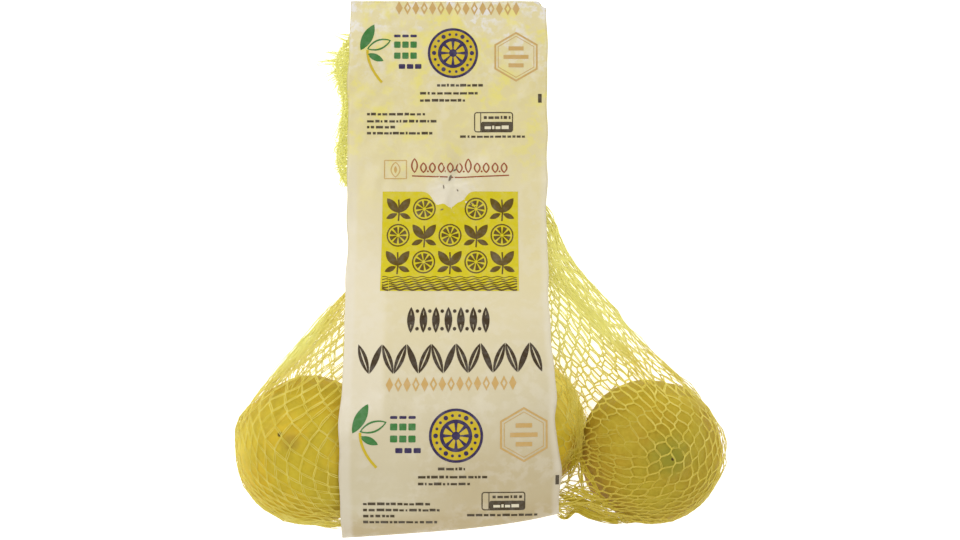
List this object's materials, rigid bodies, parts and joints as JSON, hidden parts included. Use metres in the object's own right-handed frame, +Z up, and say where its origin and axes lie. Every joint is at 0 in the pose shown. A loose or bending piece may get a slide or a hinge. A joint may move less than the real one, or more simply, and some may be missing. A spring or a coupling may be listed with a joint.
{
  "type": "net of lemons",
  "caption": "Net of lemons lying on its back: yellow knitted net bulging over the fruit, gathered to a loose end, with a printed film band lengthwise over it.",
  "frame": {"origin": "centre of the bounding box's bottom face, on the surface the net lies on", "axes": "+X to the right of the band, +Y along the band from the fruit to the loose end, +Z up through the printed side"},
  "size_m": [0.2191, 0.2436, 0.0743],
  "materials": {
    "net": "thin glossy yellow twine knitted into open meshes",
    "film": "translucent cream film with printed fields of colour",
    "rind": "waxy lemon rind with fine pores"
  },
  "bodies": {
    "root": {"net_bag": "net", "label_band": "film"}
  },
  "joints": []
}
